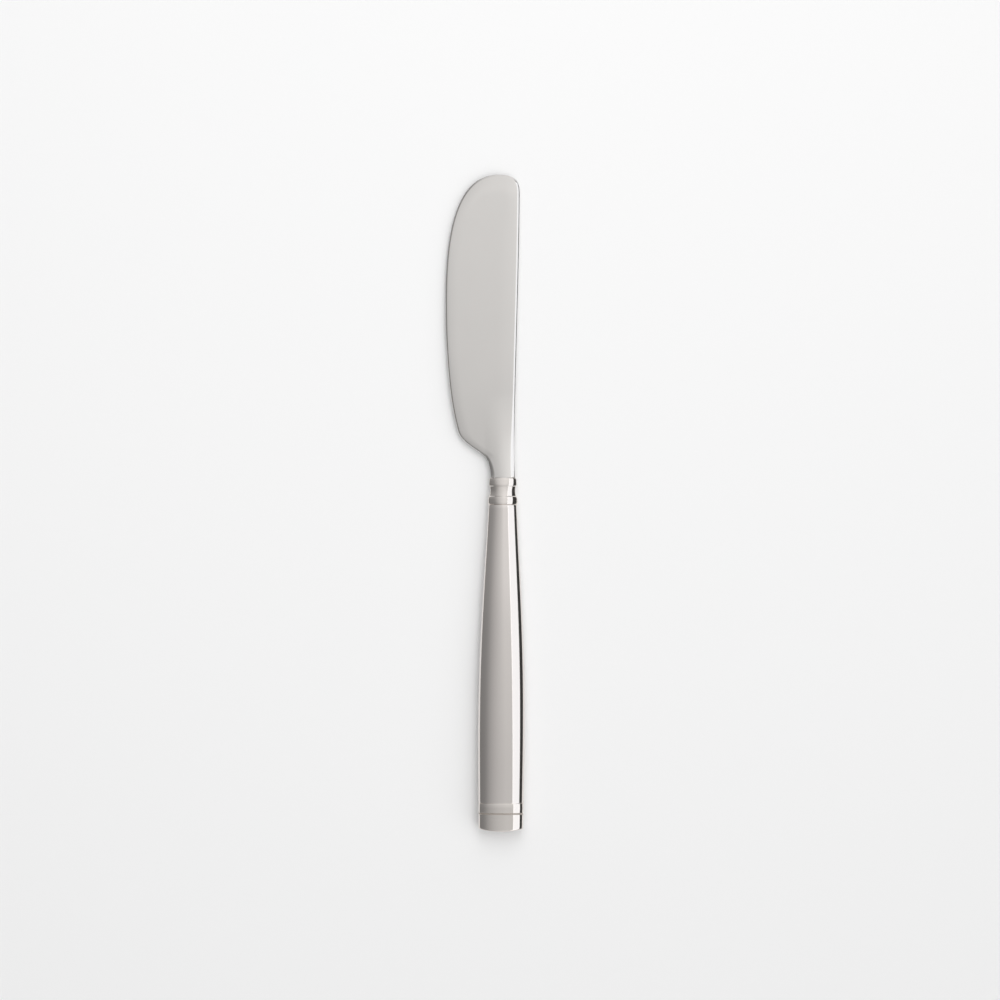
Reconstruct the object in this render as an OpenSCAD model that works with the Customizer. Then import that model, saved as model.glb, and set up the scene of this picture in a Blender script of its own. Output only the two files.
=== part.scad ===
// Hollow-handle butter knife, in millimetres.
// The knife lies on its back on the plane z = 0 with the origin in the middle of the handle.
// +Y runs along the handle to the tip of the blade, +X points to the side of the spine.

/* [Blade] */
// Length of the blade from the collar to the tip
blade_len = 78.6; // [72:0.1:100]
// Distance of the cutting edge from the handle's axis at the widest place
edge_reach = 15.1; // [13:0.1:20]
// Distance of the widest place from the collar
edge_reach_at = 46; // [35:0.5:52]
// Distance of the edge from the axis where the heel is rounded off
heel_reach = 11.8; // [9:0.1:12.5]
// Distance of the rounded heel from the collar
heel_at = 12.5; // [11:0.1:18]
// Distance of the edge from the axis where the shank breaks into the heel
break_reach = 4.9; // [4:0.1:6]
// Distance of that break from the collar
break_at = 5.7; // [4:0.1:7]
// Distance of the spine from the axis near the tip
spine_reach = 3.9; // [3:0.1:6]
// Distance of the spine from the axis at its waist, near the shank
waist_reach = 2.85; // [2.4:0.05:3.1]
// Distance of the spine's waist from the collar
waist_at = 9; // [5:0.5:14]
// Length of the rounded corner between the spine and the tip
spine_corner = 4.6; // [2:0.1:7]
// Sideways place of the foremost point of the tip, towards the edge
tip_offset = 2; // [0:0.1:6]
// Thickness at the spine
spine_t = 1.55; // [1.2:0.05:2.2]
// Thickness at the blunt cutting edge
edge_t = 0.9; // [0.6:0.1:1.2]
// Reach of the rounding of the spine, across the blade
spine_round = 1.5; // [0.8:0.1:2]
// Reach of the rounding of the edge, across the blade
edge_round = 0.75; // [0.4:0.05:1.2]
// Share of the thickness that is left at the tip
tip_share = 0.75; // [0.5:0.05:1]
// Length over which the thick shank thins out into the blade
thinning_len = 15; // [8:0.5:24]

/* [Shank and tang] */
// Width of the shank at the collar
shank_w = 6.2; // [5:0.1:7]
// Thickness of the shank at the collar
shank_t = 2.8; // [2.2:0.1:3]
// Length of the tang from the collar's face
tang_len = 54; // [30:1:75]
// Width of the tang at its root
tang_w = 3.4; // [2.6:0.1:4]
// Width of the tang at its end
tang_end_w = 2.2; // [1:0.1:2.5]
// Thickness of the tang
tang_t = 1.3; // [1:0.1:1.5]

/* [Collar] */
// Length of each bead along the knife
bead_len = 2.25; // [1.6:0.05:3]
// Height of each bead
bead_h = 0.28; // [0.1:0.02:0.4]
// Length of the cove between the beads
cove_len = 2.5; // [1.5:0.1:4]
// Depth of the cove
cove_depth = 0.18; // [0:0.02:0.3]
// Step from the sides of the shank out to the collar
collar_step = 0.12; // [0:0.02:0.4]
// Height of the collar's front above its axis, beside the handle
collar_front = 1.9; // [1.8:0.05:2.2]
// Depth of the collar's back below its axis, beside the handle
collar_back = 1.9; // [1.8:0.05:2.2]
// Half thickness of the collar beside the shank
collar_end = 1.62; // [1.52:0.02:1.8]
// Length of the spigot inside the handle
collar_spigot = 4; // [2:0.5:8]

/* [Handle] */
// Length of the half shells
handle_len = 77.2; // [70:0.1:110]
// Width at the mouth, beside the collar
mouth_w = 7.3; // [6.8:0.1:9]
// Width at the widest place
belly_w = 12; // [10:0.1:16]
// Distance of the widest place from the butt end of the shells
belly_at = 19; // [10:0.5:30]
// Width at the butt end of the shells
butt_w = 11.7; // [9:0.1:14]
// Height of the straight sides where the half shells meet
side_h = 1.2; // [0.8:0.1:1.6]
// Height of the front's crown at the mouth, as a share of half the width
mouth_crown = 0.435; // [0.4:0.005:0.5]
// Height of the front's crown at the butt end, as a share of half the width
butt_crown = 0.476; // [0.42:0.002:0.56]
// Depth of the back below the seam at the mouth
mouth_back = 2.45; // [2.3:0.05:2.8]
// Depth of the back below the seam at the butt end
butt_back = 3.385; // [3.2:0.005:3.6]
// Squareness of the oval section at the mouth, where 2 is an ellipse
mouth_power = 1.72; // [1.6:0.02:2]
// Squareness of the oval section at the butt end
butt_power = 2.25; // [2:0.05:2.6]
// Depth of the flat on the back that the knife lies on
rest_cut = 0.3; // [0.2:0.05:0.5]
// Wall of the half shells
wall = 0.7; // [0.5:0.05:0.8]

/* [End cap] */
// Length of the low band beside the shells
band_len = 2.5; // [1.5:0.05:5]
// Height of the band's round face
band_h = 0.04; // [0.02:0.01:0.2]
// Width and depth of the groove between the band and the cap
groove = 0.25; // [0.15:0.05:0.4]
// Length of the cap below the groove
cap_len = 4.5; // [3:0.05:8]
// Taper of the cap on each side
cap_taper = 0.12; // [0:0.02:0.6]
// Round of the cap's end edge
cap_round = 0.4; // [0.3:0.1:1]
// Height of the domed end face
cap_dome = 0.6; // [0.2:0.05:1]
// Length of the spigot inside the handle
cap_spigot = 3; // [2:0.5:8]

/* [Fits] */
// Thickness of braze between the edges of the shells and round the spigots
braze_gap = 0.1; // [0.05:0.01:0.2]
// Clearance round the tang and the cement
fit_gap = 0.04; // [0.02:0.01:0.1]

/* [Hidden] */

steel = "silver";
braze = "darkgoldenrod";
cement = "lightgrey";

// Points round an oval section, an even number
ring_points = 40;
// Points round each rounded edge of the blade
edge_points = 9;
// Points along one curve of an outline
curve_points = 40;
// Rings over a bead or the cove
bead_rings = 8;
// Rings along the half shells
shell_rings = 24;

// Places along the knife
mouth_y = handle_len / 2;
butt_y = -handle_len / 2;
belly_y = butt_y + belly_at;
cove_y = mouth_y + bead_len;
front_bead_y = cove_y + cove_len;
blade_y = front_bead_y + bead_len;
groove_y = butt_y - band_len;
cap_y = groove_y - groove;
end_y = cap_y - cap_len;

// Lie of the knife on the flat of its back
rest_mouth = mouth_back - rest_cut;
rest_butt = butt_back - rest_cut;
rest_middle = (rest_mouth + rest_butt) / 2;
lie_angle = atan((rest_butt - rest_mouth) / handle_len);

// Outlines and blends

function mix(a, b, t) = a + (b - a) * t;
function clamp(t) = min(max(t, 0), 1);
function ease(t) = let (c = clamp(t)) c * c * (3 - 2 * c);
function steps(from, to, count) = [for (i = [0:count]) mix(from, to, i / count)];

// Cubic curve between two points. Each pull is a share of the way along and across from p to q.
function curve(p, q, pull_p, pull_q) = [
    p,
    [mix(p[0], q[0], pull_p[0]), mix(p[1], q[1], pull_p[1])],
    [mix(p[0], q[0], pull_q[0]), mix(p[1], q[1], pull_q[1])],
    q
];
function on_curve(c, t) =
    pow(1 - t, 3) * c[0] + 3 * pow(1 - t, 2) * t * c[1] + 3 * (1 - t) * t * t * c[2] + pow(t, 3) * c[3];
function outline(curves) = [for (c = curves, t = steps(0, 1, curve_points)) on_curve(c, t)];

// Oval section with straight sides, between its front and back, and not below a lowest place.
// The sides rise in the first part of the turn, where its sine is small.

side_turn = 0.14;
function signed_power(v, e) = sign(v) * pow(abs(v), e);
function oval(y, half_w, front, back, power, side, lowest) = [
    for (i = [0:ring_points - 1])
        let (
            q = 360 * i / ring_points,
            crown = (sin(q) > 0 ? front : back) - side,
            rise = side * min(abs(sin(q)) / side_turn, 1) * sign(sin(q)),
            x = half_w * signed_power(cos(q), 2 / power),
            z = rise + crown * signed_power(sin(q), 2 / power)
        )
        [x, y, max(z, lowest)]
];

// Half width of the handle: from the mouth to the belly, and on to the butt
side_line = outline([
    curve([mouth_y, mouth_w / 2], [belly_y, belly_w / 2], [0.36, 0.45], [0.58, 1]),
    curve([belly_y, belly_w / 2], [butt_y, butt_w / 2], [0.42, 0], [0.58, 0.58])
]);
function handle_half_w(y) = lookup(y, side_line);

// The handle's section. An inner one keeps its distance from the flat that the knife lies on.
function along_handle(at_butt, at_mouth, y) = mix(at_butt, at_mouth, (y - butt_y) / handle_len);
function handle_front(y) = side_h / 2 + along_handle(butt_crown, mouth_crown, y) * handle_half_w(y);
function handle_back(y) = along_handle(butt_back, mouth_back, y);
function handle_power(y) = along_handle(butt_power, mouth_power, y);
function rest_z(y) = y * tan(lie_angle) - rest_middle;
function inset_oval(y, half_w, front, back, power, inset, lowest) =
    oval(y, half_w - inset, front - inset, back - inset, power, side_h / 2, lowest);
function handle_section(y, inset, lowest) =
    inset_oval(y, handle_half_w(y), handle_front(y), handle_back(y), handle_power(y), inset, lowest);
function handle_ring(y) = handle_section(y, 0, -butt_back);
function handle_inner(y, inset) = handle_section(y, inset, rest_z(y) + inset);

shell_rows = steps(butt_y, mouth_y, shell_rings);
spigot_inset = wall + braze_gap;

// Skin of triangles over a row of rings that have the same even number of points each.
// A looped skin joins its last ring to its first one. Any other is closed by a strip across both.
module skin(rings, looped = false) {
    n = len(rings[0]);
    m = len(rings);
    spans = looped ? m : m - 1;
    sides = [
        for (r = [0:spans - 1], i = [0:n - 1])
            let (
                a = r * n + i,
                b = r * n + (i + 1) % n,
                c = (r + 1) % m * n + (i + 1) % n,
                d = (r + 1) % m * n + i
            )
            each [[a, b, c], [a, c, d]]
    ];
    last = (m - 1) * n;
    ends = [
        for (a = [0:n / 2 - 2])
            let (b = a + 1, c = n - 2 - a, d = n - 1 - a)
            each [[a, c, b], [a, d, c], [last + a, last + b, last + c], [last + a, last + c, last + d]]
    ];
    polyhedron([for (ring = rings) each ring], looped ? sides : concat(sides, ends));
}

// Turns the knife so that the flat of its back lies on z = 0
module laid() {
    rotate([-lie_angle, 0, 0])
        translate([0, 0, rest_middle])
            children();
}

// Lays a piece down and grinds off what reaches below the flat
module ground() {
    difference() {
        laid() children();
        translate([-belly_w, end_y - cap_len, -butt_back])
            cube([2 * belly_w, blade_y - end_y + 2 * cap_len, butt_back]);
    }
}

// Blade. Its outlines hold the distance from the collar and the sideways place.

tip_x = -tip_offset;
corner_at = blade_len - spine_corner;
edge_line = outline([
    curve([0, -shank_w / 2], [break_at, -break_reach], [0.4, 0], [0.78, 0.38]),
    curve([break_at, -break_reach], [heel_at, -heel_reach], [0.37, 0.5], [0.57, 0.92]),
    curve([heel_at, -heel_reach], [edge_reach_at, -edge_reach], [0.24, 0.71], [0.64, 1]),
    curve([edge_reach_at, -edge_reach], [blade_len, tip_x], [0.35, 0], [0.984, 0.05])
]);
spine_line = outline([
    curve([0, shank_w / 2], [waist_at, waist_reach], [0.12, 0], [0.35, 1]),
    curve([waist_at, waist_reach], [corner_at, spine_reach], [0.4, 0.33], [0.7, 1]),
    curve([corner_at, spine_reach], [blade_len, tip_x], [0.88, 0], [1, 0.4])
]);

// Thickness falls from the shank to the blade, then evenly to the tip, which is rounded off
tip_round = spine_t * tip_share / 2;
function tip_fall(v) = let (d = clamp((blade_len - v) / tip_round)) sqrt(1 - pow(1 - d, 2));
function blade_half_t(v, t) =
    mix(shank_t, t * mix(1, tip_share, v / blade_len), ease(v / thinning_len)) / 2 * tip_fall(v);

// Reach of a rounded edge, which is half the width at the shank
function round_reach(v, reach) = mix(shank_w / 2, reach, ease(v / thinning_len));
function edge_arc(x, v, reach, rise, from) = [
    for (q = steps(from, from + 180, edge_points - 1))
        [x + reach * cos(q), blade_y + v, rise * sin(q)]
];

// A rounded edge takes at most this share of half the width, so that the two stay apart
round_share = 0.98;
function blade_ring(v) =
    let (
        left = lookup(v, edge_line),
        right = lookup(v, spine_line),
        most = (right - left) / 2 * round_share,
        edge_r = min(round_reach(v, edge_round), most),
        spine_r = min(round_reach(v, spine_round), most)
    )
    concat(
        edge_arc(right - spine_r, v, spine_r, blade_half_t(v, spine_t), -90),
        edge_arc(left + edge_r, v, edge_r, blade_half_t(v, edge_t), 90)
    );

// Rows of the blade, closer together at the heel and closest at the tip
heel_rings = 18;
face_rings = 14;
tip_rings = 16;
face_at = heel_at * 1.2;
tip_at = blade_len - spine_corner * 1.5;
tip_gap = tip_round / 400;
blade_rows = concat(
    steps(0, face_at, heel_rings),
    [for (i = [1:face_rings]) mix(face_at, tip_at, i / face_rings)],
    [for (i = [1:tip_rings]) mix(blade_len - tip_gap, tip_at, pow(1 - i / tip_rings, 2))]
);

// Flat tang, which reaches into the shank by half the shank's thickness
module tang(gap = 0) {
    root = tang_w / 2 + gap;
    end = tang_end_w / 2 + gap;
    top = shank_t / 2;
    foot = -tang_len - gap;
    translate([0, blade_y, 0])
        linear_extrude(height = tang_t + 2 * gap, center = true)
            polygon([[-root, top], [-end, foot], [end, foot], [root, top]]);
}

module blade() {
    color(steel) laid() {
        skin([for (v = blade_rows) blade_ring(v)]);
        tang();
    }
}

// Collar: two beads with a cove between them, on a taper from the mouth to the shank

function round_rise(t, h) = h * (1 - pow(2 * t - 1, 2));

// Share of a bead's height that is left on the crown of the collar
crown_rise = 0.1;
function collar_ring(y, rise) =
    let (
        t = (y - mouth_y) / (blade_y - mouth_y),
        half_w = mix(mouth_w, shank_w + 2 * collar_step, t) / 2 + rise,
        front = mix(collar_front, collar_end, t) + rise * crown_rise,
        back = mix(collar_back, collar_end, t) + rise * crown_rise
    )
    oval(y, half_w, front, back, 2, 0, -back);
function collar_run(from, length, h, first, last) = [
    for (i = [first:last])
        let (t = i / bead_rings)
        collar_ring(from + length * t, round_rise(t, h))
];

module neck_collar() {
    spigot_rows = steps(mouth_y - collar_spigot, mouth_y, 3);
    color(steel) ground()
        difference() {
            skin(concat(
                [for (y = spigot_rows) handle_inner(y, spigot_inset)],
                collar_run(mouth_y, bead_len, bead_h, 0, bead_rings),
                collar_run(cove_y, cove_len, -cove_depth, 1, bead_rings - 1),
                collar_run(front_bead_y, bead_len, bead_h, 0, bead_rings)
            ));
            tang(fit_gap);
        }
}

// Half shells, cut off square at the parting plane with room for the braze

function half_arc(ring, side) = [
    for (i = [0:ring_points / 2])
        let (p = ring[(side > 0 ? i : i + ring_points / 2) % ring_points])
        [p[0], p[1], side * max(side * p[2], braze_gap / 2)]
];
function reversed(list) = [for (i = [len(list) - 1:-1:0]) list[i]];

module half_shell(side) {
    skin([
        for (y = shell_rows)
            concat(
                half_arc(handle_ring(y), side),
                reversed(half_arc(handle_inner(y, wall), side))
            )
    ]);
}

module handle_front_shell() {
    color(steel) laid() half_shell(1);
}

module handle_back_shell() {
    color(steel) ground() half_shell(-1);
}

// End cap: a cup whose rings run from the inner floor over the spigot's rim to the bowed end

function cap_section(y, inset, lowest) =
    inset_oval(y, butt_w / 2, handle_front(butt_y), butt_back, butt_power, inset, lowest);
function cap_ring(y, inset) = cap_section(y, inset, -butt_back);
function cap_inner(y, inset) = cap_section(y, inset, rest_z(y) + inset);
function bow(x) = cap_dome * (1 - pow(x / butt_w * 2, 2));
function bowed(ring, share = 1) = [
    for (p = ring) [p[0] * share, p[1] - bow(p[0] * share), p[2] * share]
];

module end_cap() {
    rim_y = butt_y + cap_spigot;
    bore_inset = spigot_inset + wall;
    dome_y = end_y + cap_dome;
    round_y = dome_y + cap_round;
    side_inset = band_h + cap_taper;
    dome_edge = cap_ring(dome_y, side_inset + cap_round);
    spigot_rows = [
        cap_inner(dome_y + wall, bore_inset),
        cap_inner(butt_y, bore_inset),
        handle_inner(rim_y, bore_inset),
        handle_inner(rim_y, spigot_inset),
        handle_inner(butt_y, spigot_inset)
    ];
    band_rows = [
        for (t = steps(0, 1, bead_rings))
            cap_ring(mix(butt_y, groove_y, t), band_h - round_rise(t, band_h))
    ];
    groove_rows = [
        cap_ring(groove_y - groove / 2, band_h + groove),
        cap_ring(cap_y, band_h)
    ];
    round_rows = [
        for (q = [0:15:90])
            bowed(cap_ring(round_y - cap_round * sin(q), side_inset + cap_round * (1 - cos(q))))
    ];
    dome_rows = [for (share = [0.8:-0.2:0.2]) bowed(dome_edge, share)];
    color(steel) ground()
        skin(concat(spigot_rows, band_rows, groove_rows, round_rows, dome_rows));
}

// Braze in the seams and round the spigots, and cement round the tang

module seam_braze() {
    color(braze) laid()
        for (side = [-1, 1])
            skin([
                for (y = shell_rows)
                    let (
                        outer = side * handle_half_w(y),
                        inner = side * (handle_half_w(y) - wall),
                        z = side * braze_gap / 2
                    )
                    [[outer, y, -z], [outer, y, z], [inner, y, z], [inner, y, -z]]
            ]);
}

module braze_ring(from, to) {
    color(braze) laid()
        skin(concat(
            [for (y = steps(from, to, 3)) handle_inner(y, wall)],
            [for (y = steps(to, from, 3)) handle_inner(y, spigot_inset)]
        ), looped = true);
}

module collar_braze() {
    braze_ring(mouth_y - collar_spigot, mouth_y);
}

module cap_braze() {
    braze_ring(butt_y, butt_y + cap_spigot);
}

module handle_cement() {
    rows = steps(butt_y + cap_spigot, mouth_y - collar_spigot, shell_rings);
    color(cement) laid()
        difference() {
            skin([for (y = rows) handle_inner(y, wall + fit_gap)]);
            tang(fit_gap);
        }
}

blade();
neck_collar();
handle_front_shell();
handle_back_shell();
end_cap();
seam_braze();
collar_braze();
cap_braze();
handle_cement();
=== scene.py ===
# %% [markdown]
# # A polished butter knife
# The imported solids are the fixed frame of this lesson. They have the right sizes, but their curved faces
# are made of flat facets, and mirror-polished steel shows every facet. So each piece that the eye meets
# is made again here as a smooth mesh, in the same place and from the same lengths, and stands for its
# solid.

# %% Load the frame
import math

import bmesh
import bpy
from mathutils import Matrix, Vector


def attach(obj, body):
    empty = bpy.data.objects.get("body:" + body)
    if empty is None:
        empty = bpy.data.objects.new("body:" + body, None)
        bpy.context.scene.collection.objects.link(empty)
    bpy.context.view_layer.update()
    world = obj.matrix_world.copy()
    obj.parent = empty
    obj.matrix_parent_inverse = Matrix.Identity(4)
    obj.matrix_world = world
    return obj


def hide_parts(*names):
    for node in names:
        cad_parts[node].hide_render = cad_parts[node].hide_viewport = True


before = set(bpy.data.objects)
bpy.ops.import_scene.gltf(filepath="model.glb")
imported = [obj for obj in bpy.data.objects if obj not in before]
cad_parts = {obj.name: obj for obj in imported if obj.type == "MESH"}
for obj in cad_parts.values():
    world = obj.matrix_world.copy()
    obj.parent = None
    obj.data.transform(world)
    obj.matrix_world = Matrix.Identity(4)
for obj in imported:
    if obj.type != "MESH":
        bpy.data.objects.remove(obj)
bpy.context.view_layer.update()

MM = 0.001


# %% [markdown]
# ## The lengths of the knife
# A maker would read these from a drawing: they are the lengths of the solids, in millimetres. The knife
# could be drawn as it lies, but its axis would then slope a little. So it is drawn with its axis on the
# plane z = 0, and laid down on the flat of its back at the very end.

# %% Lengths along the knife
HANDLE_LEN = 77.2
BELLY_UP = 19
BEAD_LEN = 2.25
COVE_LEN = 2.5
BLADE_LEN = 78.6
BAND_LEN = 2.5
GROOVE = 0.25
CAP_LEN = 4.5

mouth_y = HANDLE_LEN / 2
butt_y = -HANDLE_LEN / 2
belly_y = butt_y + BELLY_UP
cove_y = mouth_y + BEAD_LEN
front_bead_y = cove_y + COVE_LEN
blade_y = front_bead_y + BEAD_LEN
groove_y = butt_y - BAND_LEN
cap_y = groove_y - GROOVE
end_y = cap_y - CAP_LEN
print("overall length in mm:", round(blade_y + BLADE_LEN - end_y, 2))

# %% How the knife is laid down
MOUTH_BACK = 2.45
BUTT_BACK = 3.385
REST_CUT = 0.3

rest_mouth = MOUTH_BACK - REST_CUT
rest_butt = BUTT_BACK - REST_CUT
rest_middle = (rest_mouth + rest_butt) / 2
lie_angle = math.atan((rest_butt - rest_mouth) / HANDLE_LEN)
LAY_DOWN = (
    Matrix.Scale(MM, 4)
    @ Matrix.Rotation(-lie_angle, 4, "X")
    @ Matrix.Translation((0, 0, rest_middle))
)
print("lie of the knife in degrees:", round(math.degrees(lie_angle), 3))

# %% [markdown]
# ## Curves and ovals
# The outlines are cubic curves between a few points, the way a French curve is laid through pencil marks.
# Each pull is a share of the way along and across, so a curve keeps its character when a length changes.
# The handle's section is an oval: leaner than an ellipse at the mouth, squarer at the butt, and cut off
# to short straight sides where the two half shells meet.

# %% Shares
def mix(a, b, share):
    return a + (b - a) * share


def clamp(share):
    return min(max(share, 0), 1)


def ease(share):
    c = clamp(share)
    return c * c * (3 - 2 * c)


print("a quarter of the way, eased:", ease(0.25))

# %% Curves
ROUNDING = 1e-4
HALVINGS = 40


def curve(start, end, pull_start, pull_end):
    pulls = [
        Vector((mix(start[0], end[0], pull[0]), mix(start[1], end[1], pull[1])))
        for pull in (pull_start, pull_end)
    ]
    return [Vector(start), *pulls, Vector(end)]


def on_curve(points, t):
    a, b, c, d = points
    s = 1 - t
    return s * s * s * a + 3 * s * s * t * b + 3 * s * t * t * c + t * t * t * d


def across_at(curves, along):
    """Finds the distance across, at a distance along, on the curve that spans it."""
    for points in curves:
        low, high = sorted((points[0][0], points[3][0]))
        if low - ROUNDING <= along <= high + ROUNDING:
            break
    rising = points[3][0] > points[0][0]
    near, far = 0.0, 1.0
    for halving in range(HALVINGS):
        half_way = (near + far) / 2
        if (on_curve(points, half_way)[0] < along) == rising:
            near = half_way
        else:
            far = half_way
    return on_curve(points, near)[1]


# %% Width and thickness along the handle
MOUTH_W = 7.3
BELLY_W = 12
BUTT_W = 11.7
SIDE_H = 1.06
MOUTH_CROWN = 0.455
BUTT_CROWN = 0.488
MOUTH_POWER = 1.72
BUTT_POWER = 2.25
SIDE_LINE = [
    curve((mouth_y, MOUTH_W / 2), (belly_y, BELLY_W / 2), (0.36, 0.45), (0.58, 1)),
    curve((belly_y, BELLY_W / 2), (butt_y, BUTT_W / 2), (0.42, 0), (0.58, 0.58)),
]


def handle_half_w(y):
    return across_at(SIDE_LINE, y)


def along_handle(at_butt, at_mouth, y):
    return mix(at_butt, at_mouth, (y - butt_y) / HANDLE_LEN)


def front_t(y):
    return SIDE_H / 2 + along_handle(BUTT_CROWN, MOUTH_CROWN, y) * handle_half_w(y)


def back_t(y):
    return along_handle(BUTT_BACK, MOUTH_BACK, y)


def handle_power(y):
    return along_handle(BUTT_POWER, MOUTH_POWER, y)


print("handle width in mm at the middle:", round(2 * handle_half_w(0), 2))

# %% The oval
STRAIGHT_FROM = 0.975


def oval_point(turn, half_w, front, back, power, side=0):
    """A point of an oval section cut off to straight sides, where turn runs from 0 to 1 round it."""
    angle = 2 * math.pi * turn
    c, s = math.cos(angle), math.sin(angle)
    out = min(1, abs(c) ** (2 / power) / STRAIGHT_FROM)
    crown = (front if s > 0 else back) - side
    last_s = math.sqrt(1 - STRAIGHT_FROM ** power)
    rise = side + crown * max(abs(s), last_s) ** (2 / power)
    return half_w * math.copysign(out, c), math.copysign(rise * min(1, abs(s) / last_s), s)


def oval(half_w, front, back, power, side=0):
    return lambda turn: oval_point(turn, half_w, front, back, power, side)


print("crown of the handle in mm at the middle:", round(front_t(0), 2))

# %% [markdown]
# ## From a flat grid to a skin
# Lathe work and stamped shells are rows of sections. Such a skin could be bridged ring by ring. Here a
# flat grid is wrapped instead: one operator makes all its faces, each vertex is moved to its place on its
# section, and the doubles along the seam and at the poles are welded.

# %% Wrapping a grid
WELD = 1e-5


def wrapped_grid(columns, rows, place, weld=WELD):
    """Moves each vertex of a grid to place(column share, row number), and welds what meets."""
    bm = bmesh.new()
    bmesh.ops.create_grid(bm, x_segments=columns, y_segments=rows, size=1)
    for vert in bm.verts:
        share = round((vert.co.x + 1) / 2 * columns) / columns
        row = round((vert.co.y + 1) / 2 * rows)
        vert.co = Vector(place(share, row))
    bmesh.ops.remove_doubles(bm, verts=bm.verts, dist=weld)
    return bm


def skin(sections, columns):
    """Wraps a grid over sections, each a distance along and a function from turn to (x, z)."""
    def place(share, row):
        y, section = sections[row]
        x, z = section(share)
        return x, y, z
    return wrapped_grid(columns, len(sections) - 1, place)


# %% From a mesh to a piece of the knife
SHARP_ANGLE = math.radians(38)


def mesh_from(bm, name):
    mesh = bpy.data.meshes.new(name)
    bm.to_mesh(mesh)
    bm.free()
    return mesh


def in_scene(name, data):
    """Makes an object from a mesh, a light or a camera, and links it to the scene."""
    thing = bpy.data.objects.new(name, data)
    bpy.context.scene.collection.objects.link(thing)
    return thing


def finish_piece(bm, name, node, slot, *materials):
    """Lays a mesh down, shades it smooth, and makes it a piece that stands for a solid."""
    bmesh.ops.recalc_face_normals(bm, faces=bm.faces)
    bmesh.ops.transform(bm, matrix=LAY_DOWN, verts=bm.verts)
    mesh = mesh_from(bm, name)
    mesh.shade_smooth()
    mesh.set_sharp_from_angle(angle=SHARP_ANGLE)
    for material in materials:
        mesh.materials.append(material)
    piece = in_scene(name, mesh)
    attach(piece, "root")
    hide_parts(node)
    print(name, "has", len(mesh.polygons), "faces")


# %% [markdown]
# ## Polished stainless steel
# The whole knife is 18/10 stainless steel, polished on soft wheels to a mirror. A metal shows the room
# more than itself, so its finish is in the fine things: the wheel leaves hair lines that run one way, the
# gloss varies a little where it was held longer, and use leaves a few finer scratches. Those are too fine
# to show at their real 0.01 mm, so they are drawn about ten times as coarse and very shallow. An image of
# scratches would do too, but noise that is stretched along the lines needs no file and has no seam. The
# wheel runs along the blade and the handle and round the collar and the cap, and it can't reach into the
# cap's groove, which stays satin. Each part's steel also has a painted tint, lighter or darker, warmer or
# cooler, for the light on it, and the groove's tint is painted darker as shade.

# %% One function for colours and one for nodes
def linear(hex_colour):
    """Turns an sRGB hex value into the linear colour that shaders use."""
    values = [int(hex_colour[i:i + 2], 16) / 255 for i in (1, 3, 5)]
    return [v / 12.92 if v <= 0.04045 else ((v + 0.055) / 1.055) ** 2.4 for v in values] + [1]


def add(tree, kind, inputs=(), **settings):
    """Adds a node, sets it, and links or fills its inputs."""
    node = tree.nodes.new(kind)
    for name, value in settings.items():
        setattr(node, name, value)
    for socket, value in dict(inputs).items():
        if isinstance(value, bpy.types.NodeSocket):
            tree.links.new(value, node.inputs[socket])
        else:
            node.inputs[socket].default_value = value
    return node


def new_material(name):
    material = bpy.data.materials.new(name)
    material.use_nodes = True
    material.node_tree.nodes.clear()
    return material


print("the middle grey of the screen in linear light:", round(linear("#808080")[0], 3))

# %% Steel with hair lines that run a given way
LINE_SPACING = 0.12 * MM
LINE_DETAIL = 2.0
LINE_DEPTH = 0.002 * MM
LINE_STRENGTH = 0.02
CLOUD_SIZE = 9 * MM
CLOUD_DETAIL = 3.0
GLOSS_FROM = 0.6
GLOSS_TO = 1.4
MIRROR = (0.05, 0.09)
SATIN = (0.5, 0.6)


def polished_steel(name, stretch, light, dark, finish=MIRROR):
    """Steel whose hair lines are drawn out along the axes where stretch is small."""
    material = new_material(name)
    tree = material.node_tree
    place = add(tree, "ShaderNodeTexCoord").outputs["Object"]
    drawn = add(tree, "ShaderNodeMapping", {"Vector": place, "Scale": stretch})
    lines = add(tree, "ShaderNodeTexNoise", {
        "Vector": drawn.outputs["Vector"], "Scale": 1 / LINE_SPACING, "Detail": LINE_DETAIL,
    })
    clouds = add(tree, "ShaderNodeTexNoise", {
        "Vector": place, "Scale": 1 / CLOUD_SIZE, "Detail": CLOUD_DETAIL,
    })
    gloss = add(tree, "ShaderNodeMath", {
        0: lines.outputs["Fac"], 1: clouds.outputs["Fac"],
    }, operation="ADD")
    roughness = add(tree, "ShaderNodeMapRange", {
        "Value": gloss.outputs["Value"], "From Min": GLOSS_FROM, "From Max": GLOSS_TO,
        "To Min": finish[0], "To Max": finish[1],
    })
    tint = add(tree, "ShaderNodeMix", {
        "Factor": clouds.outputs["Fac"], "A": linear(light), "B": linear(dark),
    }, data_type="RGBA")
    bump = add(tree, "ShaderNodeBump", {
        "Height": lines.outputs["Fac"], "Strength": LINE_STRENGTH, "Distance": LINE_DEPTH,
    })
    shader = add(tree, "ShaderNodeBsdfPrincipled", {
        "Base Color": tint.outputs["Result"], "Metallic": 1.0, "Roughness": roughness.outputs["Result"],
        "Normal": bump.outputs["Normal"],
    })
    add(tree, "ShaderNodeOutputMaterial", {"Surface": shader.outputs["BSDF"]})
    return material


# %% The four finishes of the steel, and their painted tints
LINE_STRETCH = 60
ALONG_KNIFE = (1, 1 / LINE_STRETCH, 1)
ROUND_KNIFE = (1 / LINE_STRETCH, 1, 1 / LINE_STRETCH)

# The flat blade shows one even piece of the room, in a tint that is painted a shade cooler and darker for
# the light on it.
steel_blade = polished_steel("stainless_steel_polished_blade", ALONG_KNIFE, "#e6e3e0", "#e3e0dd")
# The handle draws the lights out into long bands, in a tint that is painted a little warmer for the light
# on it.
steel_along = polished_steel("stainless_steel_polished_along", ALONG_KNIFE, "#e9e3df", "#e6e0dc")
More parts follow.
